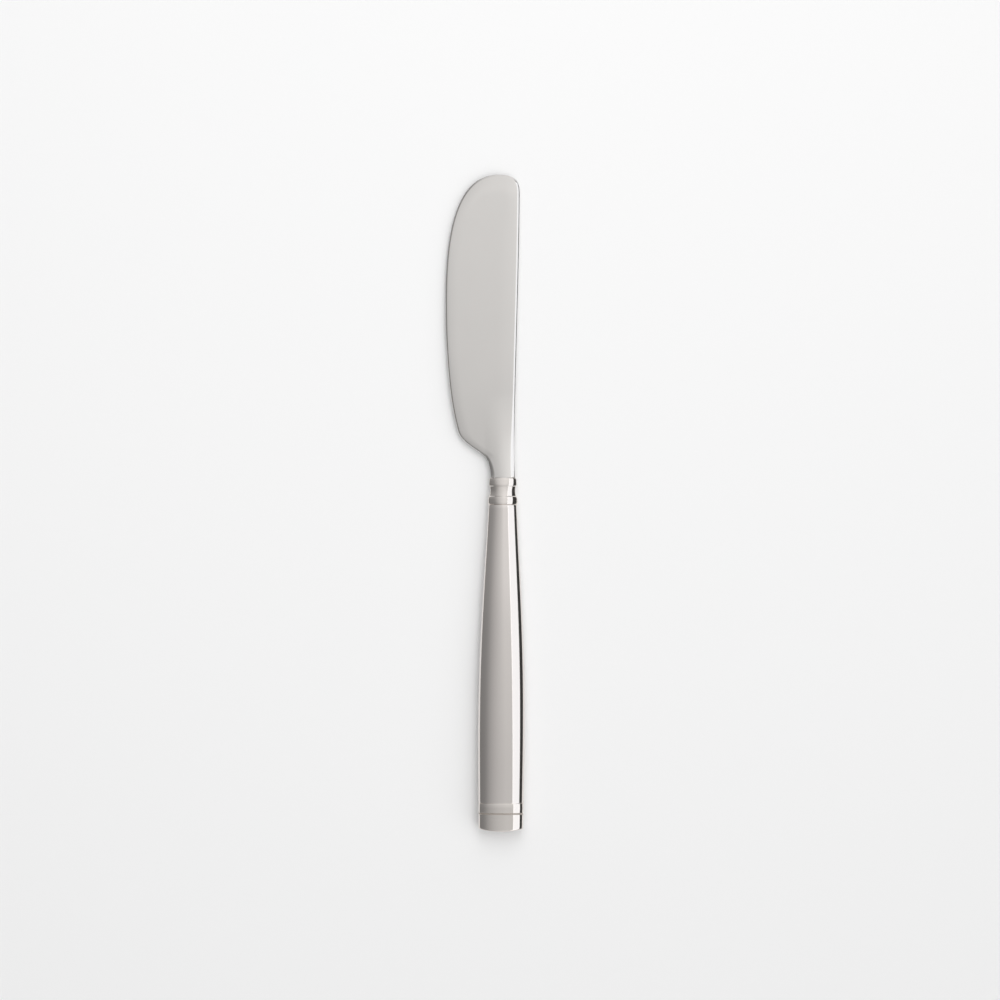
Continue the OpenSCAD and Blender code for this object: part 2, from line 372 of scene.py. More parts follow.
# Lines round the collar and the cap soften the bands across their small curves; their tint is painted
# warmer and lighter for the light on them.
steel_round = polished_steel("stainless_steel_polished_round", ROUND_KNIFE, "#ece6e1", "#e9e3de")
# Satin mirrors nothing sharply: the groove is a pale line on the dark flank and a dark one on the bright.
# Its tint is painted darker than the rest of the steel, as shade in the groove.
steel_satin_and_shade = polished_steel("stainless_steel_satin_groove_and_shade", ROUND_KNIFE, "#e2dcd6", "#dcd6d0", SATIN)
print("steel finishes:", [steel.name for steel in (steel_blade, steel_along, steel_round, steel_satin_and_shade)])

# %% [markdown]
# ## The half shells of the handle
# A hollow handle is stamped as two half shells, joined along their edges by a thin line of braze. Each
# could be an open sheet that the solidify operator turns into a wall, but that leaves spikes at the
# broken ends. So the rows of sections run over the outside and back along the inside, and the two joining
# edges are filled. The back shell has the flat that the knife lies on, which is ground off by cutting
# with a plane.

# %% Rows and sections of a half shell
SHELL_ROWS = 90
WALL = 0.7
BRAZE = 0.1
LIP_LEN = 0.2
LIP_DROP = 0.07
LIP_ROWS = [0, 0.03, 0.08, 0.14, LIP_LEN]


def lip_drop(y):
    """The ends of the shells are broken by a small round."""
    distance = min(y - butt_y, mouth_y - y)
    return LIP_DROP * clamp(1 - distance / LIP_LEN) ** 2


def shell_rows():
    inner = [mix(butt_y + LIP_LEN, mouth_y - LIP_LEN, i / SHELL_ROWS) for i in range(1, SHELL_ROWS)]
    return [butt_y + lip for lip in LIP_ROWS] + inner + [mouth_y - lip for lip in reversed(LIP_ROWS)]


def half_section(y, side, inset):
    """Half of the handle's oval, clear of the braze: its front where side is 1, its back where it is -1."""
    half_w = handle_half_w(y) - inset
    front, back = front_t(y) - inset, back_t(y) - inset
    power = handle_power(y)

    def section(share):
        turn = share / 2 if side > 0 else share / 2 + 0.5
        x, z = oval_point(turn, half_w, front, back, power, SIDE_H / 2)
        return x, side * max(side * z, BRAZE / 2)
    return y, section


print("rows along a half shell:", len(shell_rows()))

# %% The front shell
SHELL_COLUMNS = 64


def half_shell(side):
    """Rows over the outside, back along the inside, and faces on the two joining edges."""
    rows = shell_rows()
    outside = [half_section(y, side, lip_drop(y)) for y in rows]
    inside = [half_section(y, side, WALL) for y in reversed(rows)]
    bm = skin([*outside, *inside, outside[0]], SHELL_COLUMNS)
    edges = [edge for edge in bm.edges if edge.is_boundary]
    bmesh.ops.holes_fill(bm, edges=edges, sides=0)
    return bm


finish_piece(half_shell(1), "front_shell", "handle_front_shell", "polished_steel", steel_along)

# %% The back shell, with its flat ground off
ON_PLANE = 1e-6


def grind_flat(bm):
    """Cuts off what reaches below the table and closes the cut with one face."""
    table = LAY_DOWN.inverted()
    bottom = table @ Vector((0, 0, 0))
    normal = (table.to_3x3() @ Vector((0, 0, 1))).normalized()
    cut = bmesh.ops.bisect_plane(
        bm, geom=[*bm.verts, *bm.edges, *bm.faces], dist=ON_PLANE, plane_co=bottom, plane_no=normal,
        clear_inner=True,
    )
    rim = [edge for edge in cut["geom_cut"] if isinstance(edge, bmesh.types.BMEdge)]
    bmesh.ops.holes_fill(bm, edges=rim, sides=0)
    return bm


finish_piece(grind_flat(half_shell(-1)), "back_shell", "handle_back_shell", "polished_steel", steel_along)

# %% [markdown]
# ## The collar
# A turned collar joins blade and handle: two beads with a shallow cove between them. It could be spun on
# a lathe, as a round one would be, but this one is oval. So its skin is rows of sections, like the
# handle's. It starts at the slot for the tang, goes over the spigot that sits in the handle, over the
# beads and back into the slot, and is a closed ring. Each bead stands up all round by a small step at
# both ends, which catches a bright line.

# %% The collar's section
SHANK_W = 6.2
COLLAR_STEP = 0.12
COLLAR_MOUTH_T = 1.9
COLLAR_FRONT_T = 1.62
COLLAR_SLOPE = (0.7, 0.28)
COLLAR_FLANK = (0.45, 0.7)
CROWN_RISE = 0.06
SIDE_TURN = 0.14


def flanked(half_w, thickness, slope, flank):
    """An oval whose slope grows evenly from its crown to its flanks, with straight sides below."""
    fall = half_w * (slope / 2 + flank / 4)

    def section(turn):
        angle = 2 * math.pi * turn
        c, s = math.cos(angle), math.sin(angle)
        rise = half_w * (slope / 2 * (1 - c * c) + flank / 4 * (1 - c ** 4))
        side = thickness - fall
        return half_w * c, math.copysign(side * min(1, abs(s) / SIDE_TURN) + rise, s)
    return section


def collar_section(y, rise, lift=0):
    """The collar's section, wider by a rise, and thicker by a lift and a little of the rise."""
    share = (y - mouth_y) / (blade_y - mouth_y)
    half_w = mix(MOUTH_W, SHANK_W + 2 * COLLAR_STEP, share) / 2 + rise
    thickness = mix(COLLAR_MOUTH_T, COLLAR_FRONT_T, share) + rise * CROWN_RISE + lift
    return y, flanked(half_w, thickness, mix(*COLLAR_SLOPE, share), mix(*COLLAR_FLANK, share))


# %% Beads and cove
BEAD_H = 0.28
BEAD_FULLNESS = 4
BEAD_STEP = 0.11
BEAD_END = 0.07
BEAD_ROWS = 24
END_ROWS = 4
COVE_DEPTH = 0.18


def round_rise(share, height):
    return height * (1 - (2 * share - 1) ** 2)


def bead_run(start):
    """Rows over a bead, which stands up all round with a small step at both ends."""
    ends = [BEAD_END * i / END_ROWS for i in range(END_ROWS)]
    shares = ends + [mix(BEAD_END, 1 - BEAD_END, i / BEAD_ROWS) for i in range(BEAD_ROWS + 1)]
    shares += [1 - s for s in reversed(ends)]
    rows = []
    for s in shares:
        rise = BEAD_H * (1 - abs(2 * s - 1) ** BEAD_FULLNESS)
        lift = BEAD_STEP * clamp(min(s, 1 - s) / BEAD_END)
        rows.append(collar_section(start + BEAD_LEN * s, rise, lift))
    return rows


def cove_run():
    """Rows over the cove, apart from its ends, which the beads have."""
    shares = [i / BEAD_ROWS for i in range(1, BEAD_ROWS)]
    return [collar_section(cove_y + COVE_LEN * s, round_rise(s, -COVE_DEPTH)) for s in shares]


print("rows over a bead and over the cove:", len(bead_run(mouth_y)), len(cove_run()))

# %% Slot and spigot
SHANK_T = 2.8
TANG_W = 3.4
TANG_END_W = 2.2
TANG_T = 1.3
TANG_LEN = 54
FIT_GAP = 0.04
SLOT_POWER = 30


def tang_half_w(y):
    return mix(TANG_END_W, TANG_W, (y - blade_y + TANG_LEN) / (TANG_LEN + SHANK_T / 2)) / 2


def slot_section(y):
    half_t = TANG_T / 2 + FIT_GAP
    return y, oval(tang_half_w(y) + FIT_GAP, half_t, half_t, SLOT_POWER)


def spigot_section(y, inset):
    section = handle_half_w(y) - inset, front_t(y) - inset, back_t(y) - inset
    return y, oval(*section, handle_power(y), SIDE_H / 2)


print("width of the slot in mm at the blade:", round(2 * (tang_half_w(blade_y) + FIT_GAP), 2))

# %% Skin of the collar
RING_COLUMNS = 96
COLLAR_SPIGOT = 4
spigot_y = mouth_y - COLLAR_SPIGOT
spigot_inset = WALL + BRAZE
collar_sections = [
    slot_section(spigot_y),
    spigot_section(spigot_y, spigot_inset),
    spigot_section(mouth_y, spigot_inset),
    *bead_run(mouth_y),
    *cove_run(),
    *bead_run(front_bead_y),
    slot_section(blade_y),
    slot_section(spigot_y),
]
finish_piece(skin(collar_sections, RING_COLUMNS), "collar", "neck_collar", "polished_steel", steel_round)

# %% [markdown]
# ## The end cap
# The cap is a cup with a low band, a fine groove and an end that is bowed out in the middle of its width.
# It is wrapped like the collar, from the inner floor over the rim of the spigot and over the band to the
# middle of the end. The end is made flat with a small round, which is simple to wrap, and bent
# afterwards. A cut with a plane carries on the flat of the back.

# %% The cap's section and lengths
CAP_SPIGOT = 3
BAND_H = 0.04
CAP_TAPER = 0.04
CAP_ROUND = 0.4
CAP_BOW = 0.6
CAP_CROWN = 0.43
GROOVE_EDGE = 0.09
rim_y = butt_y + CAP_SPIGOT
flat_y = end_y + CAP_BOW
round_y = flat_y + CAP_ROUND
groove_top = groove_y + GROOVE_EDGE
groove_low = cap_y - GROOVE_EDGE
bore_inset = spigot_inset + WALL
side_inset = BAND_H + CAP_TAPER


def cap_section(y, inset, share=1):
    """The handle's section at its butt, made smaller by an inset or by a share."""
    half_w, front, back = BUTT_W / 2 - inset, front_t(butt_y) - inset, BUTT_BACK - inset
    side = front - CAP_CROWN * half_w
    return y, oval(half_w * share, front * share, back * share, BUTT_POWER, side * share)


print("width of the groove in mm:", round(groove_top - groove_low, 2))

# %% Rows over the outside of the cap
GROOVE_SHARES = [0.08, 0.2, 0.35, 0.5, 0.65, 0.8, 0.92]
SIDE_ROWS = 6
ROUND_TURNS = [math.radians(turn) for turn in range(0, 91, 10)]
END_SHARES = [0.9, 0.8, 0.65, 0.5, 0.35, 0.2, 0.1, 0]
band_rows = [
    cap_section(mix(butt_y, groove_top, i / BEAD_ROWS), BAND_H - round_rise(i / BEAD_ROWS, BAND_H))
    for i in range(BEAD_ROWS + 1)
]
groove_rows = [
    cap_section(mix(groove_top, groove_low, s), BAND_H + GROOVE * math.sin(math.pi * s))
    for s in GROOVE_SHARES
]
side_rows = [
    cap_section(mix(groove_low, round_y, i / SIDE_ROWS), mix(BAND_H, side_inset, i / SIDE_ROWS))
    for i in range(SIDE_ROWS)
]
round_rows = [
    cap_section(round_y - CAP_ROUND * math.sin(turn), side_inset + CAP_ROUND * (1 - math.cos(turn)))
    for turn in ROUND_TURNS
]
end_rows = [cap_section(flat_y, side_inset + CAP_ROUND, s) for s in END_SHARES]
outer_rows = [*band_rows, *groove_rows, *side_rows, *round_rows, *end_rows]
print("rows over the outside of the cap:", len(outer_rows))

# %% Skin of the cap
SATIN_AND_SHADE_FINISH = 1


def mark_groove(bm):
    """Gives the faces in the groove the satin finish, whose tint is painted darker as shade in the groove.
    """
    for face in bm.faces:
        if all(groove_low - ROUNDING < vert.co.y < groove_top + ROUNDING for vert in face.verts):
            face.material_index = SATIN_AND_SHADE_FINISH
    return bm


def bow_end(bm):
    """Bends the end of the cap outwards in the middle of its width."""
    for vert in bm.verts:
        bend = clamp((cap_y - vert.co.y) / (cap_y - round_y))
        vert.co.y -= CAP_BOW * bend * (1 - (vert.co.x / BUTT_W * 2) ** 2)
    return bm


cap_sections = [
    cap_section(flat_y + WALL, bore_inset, 0),
    cap_section(flat_y + WALL, bore_inset),
    cap_section(butt_y, bore_inset),
    spigot_section(rim_y, bore_inset),
    spigot_section(rim_y, spigot_inset),
    spigot_section(butt_y, spigot_inset),
    *outer_rows,
]
cap_bm = grind_flat(bow_end(mark_groove(skin(cap_sections, RING_COLUMNS))))
finish_piece(cap_bm, "cap", "end_cap", "polished_steel", steel_round, steel_satin_and_shade)

# %% [markdown]
# ## The blade
# A forged butter blade is a thin wedge with all its edges rounded, which swells into a rounded shank.
# Sections across it would bunch up at the round tip, so the grid is laid the other way: its columns
# follow the outline from the shank along the spine, round the tip and back along the edge, and its rows
# go inwards from the outline to the middle. The first rows are the rounded edge. One face is made and the
# mirror operator adds the other.

# %% Outlines of the blade, as distance from the collar and sideways place
EDGE_SIDE = -15.1
SPINE_SIDE = 3.9
HEEL_INNER = (5.7, -4.72)
HEEL_OUTER = (12.5, -11.8)
EDGE_BELLY = (46, EDGE_SIDE)
SPINE_WAIST = (9, 2.85)
SPINE_END = (74, SPINE_SIDE)
TIP = (BLADE_LEN, -2)
EDGE_LINE = [
    curve((0, -SHANK_W / 2), HEEL_INNER, (0.45, 0), (0.85, 0.4)),
    curve(HEEL_INNER, HEEL_OUTER, (0.37, 0.49), (0.57, 0.92)),
    curve(HEEL_OUTER, EDGE_BELLY, (0.24, 0.71), (0.64, 1)),
    curve(EDGE_BELLY, TIP, (0.35, 0), (0.984, 0.05)),
]
SPINE_LINE = [
    curve((0, SHANK_W / 2), SPINE_WAIST, (0.12, 0), (0.35, 1)),
    curve(SPINE_WAIST, SPINE_END, (0.4, 0.33), (0.7, 1)),
    curve(SPINE_END, TIP, (0.88, 0), (1, 0.4)),
]
print("widest place of the blade in mm:", round(SPINE_SIDE - EDGE_SIDE, 2))

# %% Points along the outline, at even steps
PATH_STEPS = 400
NEAR_V = 18
FAN_V = 64
NEAR_ROWS = 72
FAR_ROWS = 60
FAN_ROWS = 44
straight_rows = [NEAR_V * i / NEAR_ROWS for i in range(NEAR_ROWS)]
straight_rows += [mix(NEAR_V, FAN_V, i / FAR_ROWS) for i in range(FAR_ROWS)]


def arc_points(curves, from_v, count):
    """Points at even steps of length along the outline, from a row to the tip."""
    path = [on_curve(points, i / PATH_STEPS) for points in curves for i in range(PATH_STEPS + 1)]
    path = [p for p in path if p[0] >= from_v]
    lengths = [0.0]
    for a, b in zip(path, path[1:]):
        lengths.append(lengths[-1] + (b - a).length)
    points, k = [], 0
    for i in range(count + 1):
        goal = lengths[-1] * i / count
        while k < len(path) - 2 and lengths[k + 1] < goal:
            k += 1
        step = lengths[k + 1] - lengths[k]
        points.append(path[k].lerp(path[k + 1], (goal - lengths[k]) / step if step else 0))
    return points


def side_points(curves):
    rows = [Vector((v, across_at(curves, v))) for v in straight_rows]
    return rows + arc_points(curves, FAN_V, FAN_ROWS)


# %% Where the columns start and end
spine_points = side_points(SPINE_LINE)
edge_points = side_points(EDGE_LINE)
outline = spine_points + edge_points[-2::-1]
last_column = len(outline) - 1

half_ways = [(a + b) / 2 for a, b in zip(spine_points, edge_points)]
fan_from = len(straight_rows)
half_ways = half_ways[:fan_from] + [half_ways[fan_from]] * (FAN_ROWS + 1)
middle = half_ways + half_ways[-2::-1]


def inward(column):
    """The direction from the outline into the blade."""
    if column == 0:
        return Vector((0, -1))
    if column == last_column:
        return Vector((0, 1))
    along = (outline[column + 1] - outline[column - 1]).normalized()
    return Vector((along[1], -along[0]))


print("points along the outline of the blade:", len(outline))

# %% From the spine to the edge, and from the shank to the tip
EDGE_STARTS = 0.5
EDGE_IS_FULL = 0.2
TIP_FROM = 55
TIP_TO = 75


def edge_side(column):
    """0 along the spine, 1 along the cutting edge, and a smooth change over the tip."""
    first = len(straight_rows) + FAN_ROWS * EDGE_STARTS
    last = last_column - len(straight_rows) - FAN_ROWS * EDGE_IS_FULL
    return ease((column - first) / (last - first))


def near_tip(v):
    return ease((v - TIP_FROM) / (TIP_TO - TIP_FROM))


print("share of the edge at the middle of the tip:", round(edge_side(last_column // 2), 2))

# %% Thickness of the blade
SPINE_T = 1.55
EDGE_T = 0.9
TIP_SHARE = 0.75
RIDGE_H = 0.7
RIDGE_X = 0.6
RIDGE_W = 5.6
RIDGE_LEN = 22
RIDGE_FALL = 2
FILLET_LEN = 0.3
FILLET_H = 0.08


def flare(v):
    """The small fillet where the shank meets the collar."""
    return FILLET_H * clamp(1 - v / FILLET_LEN) ** 2


def ridge(v, x):
    """The round of the shank, which runs out into the flat of the blade."""
    across = (x - RIDGE_X) / RIDGE_W
    return RIDGE_H * clamp(1 - v / RIDGE_LEN) ** RIDGE_FALL * max(0, 1 - across * across) ** 2


def thickness_at(point):
    """Half the thickness: a wedge from the edge to the spine, with the ridge of the shank on it."""
    v, x = point
    wedge = mix(EDGE_T, SPINE_T, (x - EDGE_SIDE) / (SPINE_SIDE - EDGE_SIDE)) / 2
    return wedge * mix(1, TIP_SHARE, v / BLADE_LEN) + ridge(v, x) + flare(v)


print("thickness of the shank in mm at the collar:", round(2 * thickness_at((0, 0)), 2))

# %% The rounded edges, as reach inwards and drop
EDGE_REACH = 0.45
EDGE_DROP = 0.26
SHANK_EDGE_REACH = 1.1
SHANK_EDGE_DROP = 0.32
SPINE_REACH = 0.75
SPINE_DROP = 0.25
SHANK_SPINE_REACH = 1.35
SHANK_SPINE_DROP = 0.32
SHANK_BLEND = 7
SPINE_BLEND = 25
TIP_SOFT = 0.8


def rounding(column):
    """How far the rounded edge reaches into the blade at a column, and how far it drops there."""
    v = outline[column][0]
    spine_share = ease(v / SPINE_BLEND)
    edge_share = ease(v / SHANK_BLEND)
    side = edge_side(column)
    spine_reach = mix(SHANK_SPINE_REACH, SPINE_REACH, spine_share)
    spine_drop = mix(SHANK_SPINE_DROP, SPINE_DROP, spine_share)
    edge_reach = mix(SHANK_EDGE_REACH, EDGE_REACH, edge_share)
    edge_drop = mix(SHANK_EDGE_DROP, EDGE_DROP, edge_share)
    softer = 1 - TIP_SOFT * near_tip(v) * inward(column)[0] ** 2
    return mix(spine_reach, edge_reach, side), mix(spine_drop, edge_drop, side) * softer


print("reach and drop in mm at the start of the spine:", rounding(0))

# %% The slight fall of the faces
FALL = 0.11
FALL_ZONE = 2.8
TIP_FALL = 0.2
TIP_FALL_ZONE = 4
SPINE_FALL = 0.14
SPINE_ZONE = 4.8
FALL_BLEND = 12


def face_fall(column, depth):
    """The wheel takes a little off a face towards the edge and towards the spine."""
    v = outline[column][0]
    side, tip = edge_side(column), near_tip(v)
    edge_zone = mix(FALL_ZONE, TIP_FALL_ZONE, tip)
    edge_fall = mix(FALL, TIP_FALL, tip) * side * clamp(1 - depth / edge_zone) ** 2
    spine_fall = SPINE_FALL * (1 - side) * clamp(1 - depth / SPINE_ZONE) ** 2
    return (edge_fall + spine_fall) * ease(v / FALL_BLEND)


print("most fall of a face in mm:", max(FALL, TIP_FALL, SPINE_FALL))

# %% The place of each vertex, in rows from the outline inwards
ROUND_ROWS = 12
FACE_ROWS = 16
MOST_DROP = 0.85


def blade_place(share, row):
    """Row 0 is the rim between the faces, then comes the rounded edge, and the last row is the middle."""
    column = round(share * last_column)
    point = outline[column]
    reach, drop = rounding(column)
    if row <= ROUND_ROWS:
        depth = reach * max(row - 1, 0) / (ROUND_ROWS - 1)
        spot = point + inward(column) * depth
    else:
        shoulder = point + inward(column) * reach
        spot = shoulder.lerp(middle[column], (row - ROUND_ROWS) / FACE_ROWS)
        depth = reach + (spot - shoulder).length
    still_round = clamp(1 - depth / reach)
    thickness = thickness_at(spot) - face_fall(column, depth)
    z = 0
    if row > 0:
        z = thickness - min(drop, MOST_DROP * thickness) * still_round ** 2
    sideways = math.copysign(flare(point[0]), point[1]) * still_round
    return spot[1] + sideways, blade_y + spot[0], z


# %% Skin of the blade, its other face and its tang
# The halves of a face, from the spine and from the edge, meet within this along the middle.
MIDDLE_WELD = 0.01


def close_blade(bm):
    """Mirrors the face, fills the end of the shank, and draws the tang out of it."""
    bmesh.ops.mirror(bm, geom=[*bm.verts, *bm.edges, *bm.faces], axis="Z", merge_dist=WELD)
    bmesh.ops.remove_doubles(bm, verts=bm.verts, dist=WELD)
    rim = [edge for edge in bm.edges if edge.is_boundary]
    root = bmesh.ops.edgeloop_fill(bm, edges=rim)["faces"]
    rim_w = 2 * max(vert.co.x for edge in rim for vert in edge.verts)
    rim_t = 2 * max(vert.co.z for edge in rim for vert in edge.verts)
    root_size = (TANG_W / rim_w, 1, TANG_T / rim_t)
    end_size = (TANG_END_W / TANG_W, 1, 1)
    for size, shift in ((root_size, 0), (end_size, -TANG_LEN)):
        grown = bmesh.ops.extrude_face_region(bm, geom=root)["geom"]
        bmesh.ops.delete(bm, geom=root, context="FACES_ONLY")
        root = [face for face in grown if isinstance(face, bmesh.types.BMFace)]
        verts = [vert for vert in grown if isinstance(vert, bmesh.types.BMVert)]
        bmesh.ops.scale(bm, vec=size, verts=verts)
        bmesh.ops.translate(bm, vec=(0, shift, 0), verts=verts)
    return bm


face_bm = wrapped_grid(last_column, ROUND_ROWS + FACE_ROWS, blade_place, MIDDLE_WELD)
blade_bm = close_blade(face_bm)
finish_piece(blade_bm, "blade_forging", "blade", "polished_steel", steel_blade)

# %% [markdown]
# ## Braze and cement
# Thin lines of silver braze join the shells, and cement holds the tang inside the handle. The braze
# hardly shows and the cement never does, so their solids stay as they are. They only get a finish, from
# noise at the size of the file marks and of the sand.

# %% Finish of the braze and the cement
GRAIN_DETAIL = 4.0
GLOSS_SPREAD = 0.2
GRAIN_STRENGTH = 0.2
GRAIN_DEPTH = 1 / 4


def metal_or_stone(name, dark, light, metallic, roughness, grain):
    material = new_material(name)
    tree = material.node_tree
    place = add(tree, "ShaderNodeTexCoord").outputs["Object"]
    noise = add(tree, "ShaderNodeTexNoise", {"Vector": place, "Scale": 1 / grain, "Detail": GRAIN_DETAIL})
    colour = add(tree, "ShaderNodeMix", {
        "Factor": noise.outputs["Fac"], "A": linear(dark), "B": linear(light),
    }, data_type="RGBA")
    gloss = add(tree, "ShaderNodeMapRange", {
        "Value": noise.outputs["Fac"],
        "To Min": roughness * (1 - GLOSS_SPREAD), "To Max": roughness * (1 + GLOSS_SPREAD),
    })
    bump = add(tree, "ShaderNodeBump", {
        "Height": noise.outputs["Fac"], "Strength": GRAIN_STRENGTH, "Distance": grain * GRAIN_DEPTH,
    })
    shader = add(tree, "ShaderNodeBsdfPrincipled", {
        "Base Color": colour.outputs["Result"], "Metallic": metallic, "Roughness": gloss.outputs["Result"],
        "Normal": bump.outputs["Normal"],
    })
    add(tree, "ShaderNodeOutputMaterial", {"Surface": shader.outputs["BSDF"]})
    return material


# Filed braze is a duller and yellower line between the two edges of steel.
silver_braze = metal_or_stone("silver_braze_filed", "#c3bfb4", "#d0cdc4", 1.0, 0.16, 0.3 * MM)
# Cast cement is matt and sandy.
cast_cement = metal_or_stone("cement_cast", "#948f86", "#b3aea5", 0.0, 0.85, 0.5 * MM)
for node, finish in (
    ("seam_braze", silver_braze), ("collar_braze", silver_braze), ("cap_braze", silver_braze),
    ("handle_cement", cast_cement),
):
    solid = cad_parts[node]
    solid.data.materials.clear()
    solid.data.materials.append(finish)
    print(node, "is finished as", finish.name)

# %% [markdown]
# ## The table top
# The knife lies on a plain matt white table. A backdrop that curves up behind would hide the far edge,
# but from straight above one large flat face is enough.

# %% Table top
FLOOR_SIZE = 4
FLOOR_GRAIN = 0.4 * MM
FLOOR_DETAIL = 2.0
FLOOR_ROUGHNESS = 0.8
FLOOR_SHINE = 0.1
floor_bm = bmesh.new()
bmesh.ops.create_grid(floor_bm, x_segments=1, y_segments=1, size=FLOOR_SIZE / 2)
floor = in_scene("floor", mesh_from(floor_bm, "floor"))

# Matt white has hardly any shine, so it shows only soft shadows.
matt_white = new_material("table_top_matt_white")
table_tree = matt_white.node_tree
table_grain = add(table_tree, "ShaderNodeTexNoise", {
    "Vector": add(table_tree, "ShaderNodeTexCoord").outputs["Object"], "Scale": 1 / FLOOR_GRAIN,
    "Detail": FLOOR_DETAIL,
})
table_tint = add(table_tree, "ShaderNodeMix", {
    "Factor": table_grain.outputs["Fac"], "A": linear("#f3f3f3"), "B": linear("#f5f5f5"),
}, data_type="RGBA")
table_shader = add(table_tree, "ShaderNodeBsdfPrincipled", {
    "Base Color": table_tint.outputs["Result"], "Roughness": FLOOR_ROUGHNESS,
    "Specular IOR Level": FLOOR_SHINE,
})
add(table_tree, "ShaderNodeOutputMaterial", {"Surface": table_shader.outputs["BSDF"]})
floor.data.materials.append(matt_white)
print("the table top is", FLOOR_SIZE, "m wide, of", matt_white.name)

# %% [markdown]
# ## The room that the steel mirrors
# Polished steel has no colour of its own to speak of: its greys are a picture of the room. The room could
# be walls and cards in the scene, but then they would have to be lit and hidden from the camera. A world
# that changes with direction is simpler. One ramp goes across the knife, from a dim left to a bright
# middle, and one along it. A dark card on the right, beside the bright part, gives the handle its crisp
# dark edge.

# %% Directions in the room
world = bpy.data.worlds.new("studio")
bpy.context.scene.world = world
world.use_nodes = True
room_tree = world.node_tree
room_tree.nodes.clear()
direction = add(room_tree, "ShaderNodeSeparateXYZ", {
    "Vector": add(room_tree, "ShaderNodeTexCoord").outputs["Generated"],
})
lean = add(room_tree, "ShaderNodeMath", {
    0: direction.outputs["X"], 1: direction.outputs["Z"],
}, operation="ARCTAN2")


def grey_ramp(share, points):
    """A ramp of grey values, each with its place from 0 to 1."""
    ramp = add(room_tree, "ShaderNodeValToRGB", {"Fac": share})
    stops = ramp.color_ramp.elements
    while len(stops) < len(points):
        stops.new(0.5)
    for stop, (place, value) in zip(stops, points):
        stop.position = place
        stop.color = (value, value, value, 1)
    return ramp.outputs["Color"]


print("the room is", world.name)

# %% Light across and along the knife
ACROSS_DEGREES = [
    (-90, 0.23), (-60, 0.24), (-47, 0.26), (-37, 0.31), (-23, 0.43), (-10, 0.54), (0, 0.62), (8, 0.67),
    (26.3, 0.67), (40, 0.5), (60, 0.4), (90, 0.3),
]
ALONG_REACH = 0.5
ALONG = [
    (-0.5, 0.56), (-0.3, 0.5), (-0.12, 0.475), (-0.056, 0.475), (-0.026, 0.505), (0.044, 0.543),
    (0.062, 0.608), (0.087, 0.638), (0.116, 0.667), (0.135, 0.7), (0.3, 0.7), (0.5, 0.66),
]
lean_share = add(room_tree, "ShaderNodeMapRange", {
    "Value": lean.outputs["Value"], "From Min": -math.pi / 2, "From Max": math.pi / 2,
})
along_share = add(room_tree, "ShaderNodeMapRange", {
    "Value": direction.outputs["Y"], "From Min": -ALONG_REACH, "From Max": ALONG_REACH,
})
across_light = grey_ramp(
    lean_share.outputs["Result"], [(degrees / 180 + 0.5, value) for degrees, value in ACROSS_DEGREES],
)
along_light = grey_ramp(along_share.outputs["Result"], [(place + 0.5, value) for place, value in ALONG])
room_light = add(room_tree, "ShaderNodeMath", {0: across_light, 1: along_light}, operation="MULTIPLY")
print("stops across and along the knife:", len(ACROSS_DEGREES), len(ALONG))

# %% The dark card on the right
CARD_FROM = math.radians(26.3)
CARD_EDGE = math.radians(1)
CARD_REACH = 0.4
CARD_END = 0.1
CARD_LIGHT = 0.025
off_middle = add(room_tree, "ShaderNodeMath", {0: direction.outputs["Y"]}, operation="ABSOLUTE")
card_across = add(room_tree, "ShaderNodeMapRange", {
    "Value": lean.outputs["Value"], "From Min": CARD_FROM, "From Max": CARD_FROM + CARD_EDGE,
})
card_along = add(room_tree, "ShaderNodeMapRange", {
    "Value": off_middle.outputs["Value"], "From Min": CARD_REACH + CARD_END, "From Max": CARD_REACH,
})
card = add(room_tree, "ShaderNodeMath", {
    0: card_across.outputs["Result"], 1: card_along.outputs["Result"],
}, operation="MULTIPLY")
room_with_card = add(room_tree, "ShaderNodeMix", {
    "Factor": card.outputs["Value"], "A": room_light.outputs["Value"], "B": CARD_LIGHT,
})
print("the card starts at", round(math.degrees(CARD_FROM), 1), "degrees from overhead")

# %% The room, and a plain backdrop for the camera
ROOM_STRENGTH = 2.0
BACKDROP = "#f2f2f2"
room = add(room_tree, "ShaderNodeBackground", {
    "Color": room_with_card.outputs["Result"], "Strength": ROOM_STRENGTH,
})
backdrop = add(room_tree, "ShaderNodeBackground", {"Color": linear(BACKDROP)})
either = add(room_tree, "ShaderNodeMixShader", {
    0: add(room_tree, "ShaderNodeLightPath").outputs["Is Camera Ray"],
    1: room.outputs["Background"], 2: backdrop.outputs["Background"],
})
add(room_tree, "ShaderNodeOutputWorld", {"Surface": either.outputs["Shader"]})
print("strength of the room:", ROOM_STRENGTH)

# %% [markdown]
# ## Softbox, fill and key
# A studio lights the mirror and the table apart, because what looks right in steel is seldom right on
# white. A long softbox on the right is there for the steel alone: it is the white band along the handle.
# A fill above the tip brightens the far end of the table, and a wide key from the right gives the soft
# shadows on the left. Both are hidden from the steel, which would otherwise show them as spots.

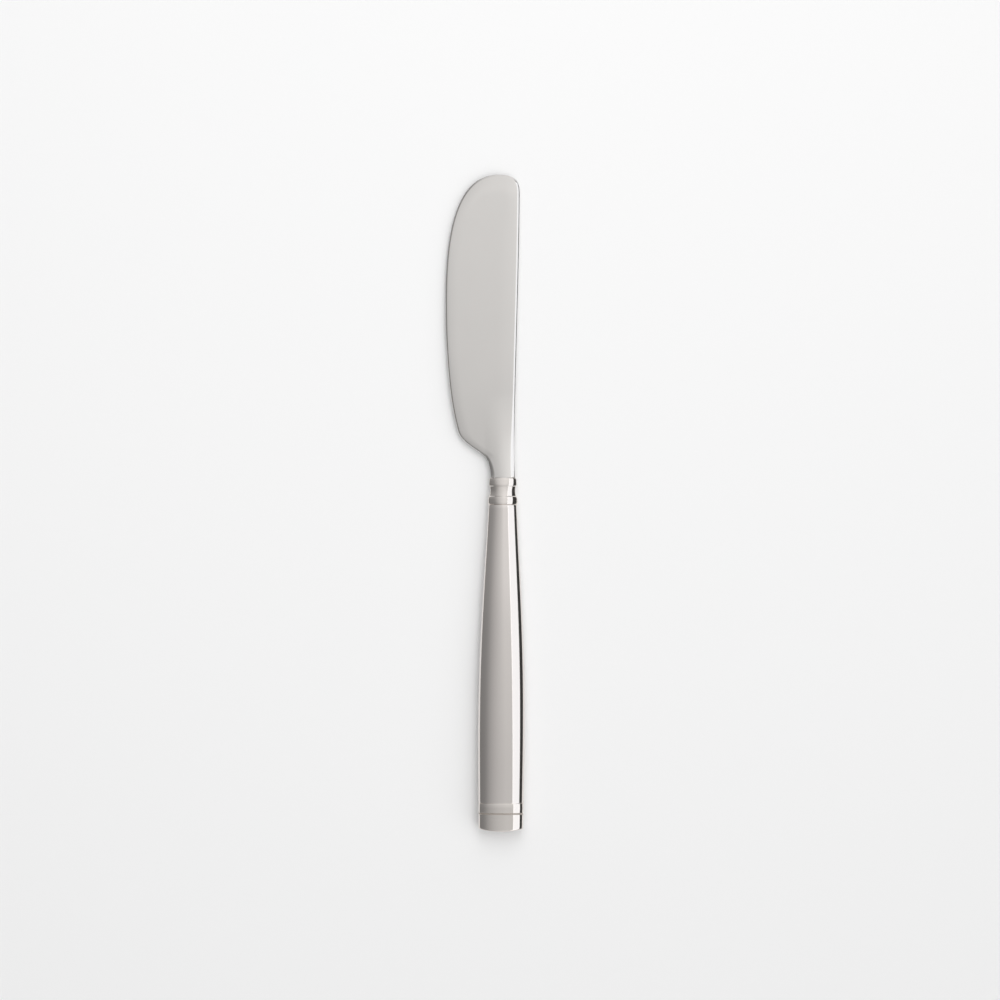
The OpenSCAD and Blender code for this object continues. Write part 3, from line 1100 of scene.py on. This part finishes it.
# %% Softbox on the right
SOFTBOX_DISTANCE = 0.8
SOFTBOX_TURN = math.radians(42.6)
SOFTBOX_HALF = math.radians(16.8)
SOFTBOX_WIDE = 2 * SOFTBOX_DISTANCE * math.tan(SOFTBOX_HALF)
SOFTBOX_FAR = 0.5
SOFTBOX_LONG = 1.5
SOFTBOX_RADIANCE = 1.18
SOFTBOX_COLOUR = "#f8fbff"
softbox_light = bpy.data.lights.new("softbox", "AREA")
softbox_light.shape = "RECTANGLE"
softbox_light.color = linear(SOFTBOX_COLOUR)[:3]
softbox_light.size = SOFTBOX_WIDE
softbox_light.size_y = SOFTBOX_LONG
softbox_light.energy = SOFTBOX_RADIANCE * math.pi * SOFTBOX_WIDE * SOFTBOX_LONG
softbox = in_scene("softbox", softbox_light)
softbox.location = (
    SOFTBOX_DISTANCE * math.sin(SOFTBOX_TURN), SOFTBOX_FAR - SOFTBOX_LONG / 2,
    SOFTBOX_DISTANCE * math.cos(SOFTBOX_TURN),
)
softbox.rotation_euler = (0, SOFTBOX_TURN, 0)
softbox.visible_camera = False
softbox.visible_diffuse = False
print("softbox in watts:", round(softbox_light.energy, 2))

# %% Fill light above the tip, for the table top
FILL_WIDE = 0.5
FILL_LONG = 0.9
FILL_WATTS = 1.82
FILL_PLACE = (0.03, 0.38, 0.6)
fill_light = bpy.data.lights.new("fill", "AREA")
fill_light.shape = "ELLIPSE"
fill_light.size = FILL_WIDE
fill_light.size_y = FILL_LONG
fill_light.energy = FILL_WATTS
fill = in_scene("fill", fill_light)
fill.location = FILL_PLACE
fill.visible_camera = False
fill.visible_glossy = False
print("fill in watts:", FILL_WATTS)

# %% Key light from the right, for the shadows
KEY_TURN = math.radians(43)
KEY_SWING = math.radians(-18)
KEY_WIDE = math.radians(70)
KEY_STRENGTH = 1.05
key_light = bpy.data.lights.new("key", "SUN")
key_light.energy = KEY_STRENGTH
key_light.angle = KEY_WIDE
key = in_scene("key", key_light)
key.rotation_euler = (0, KEY_TURN, KEY_SWING)
key.visible_glossy = False
print("strength of the key:", KEY_STRENGTH)

# %% [markdown]
# ## The camera
# The picture is taken from straight above, from so far that the sides of the knife hardly show. The lens
# follows from the width that the picture spans at the height of the knife, so the scale stays right if
# the camera is moved up or down.

# %% Camera
CAMERA_HEIGHT = 0.9
KNIFE_HEIGHT = 3 * MM
FRAME_WIDTH = 258.95 * MM
FRAME_MIDDLE = (-0.7 * MM, 39.86 * MM)
FRAME_TURN = math.radians(0.318)
SENSOR = 36
camera_data = bpy.data.cameras.new("camera")
camera_data.sensor_fit = "HORIZONTAL"
camera_data.sensor_width = SENSOR
camera_data.lens = SENSOR * CAMERA_HEIGHT / FRAME_WIDTH
camera = in_scene("camera", camera_data)
camera.location = (*FRAME_MIDDLE, CAMERA_HEIGHT + KNIFE_HEIGHT)
camera.rotation_euler = (0, 0, FRAME_TURN)
bpy.context.scene.camera = camera
bpy.context.scene.view_settings.view_transform = "Standard"
print("lens in mm:", round(camera_data.lens, 1))
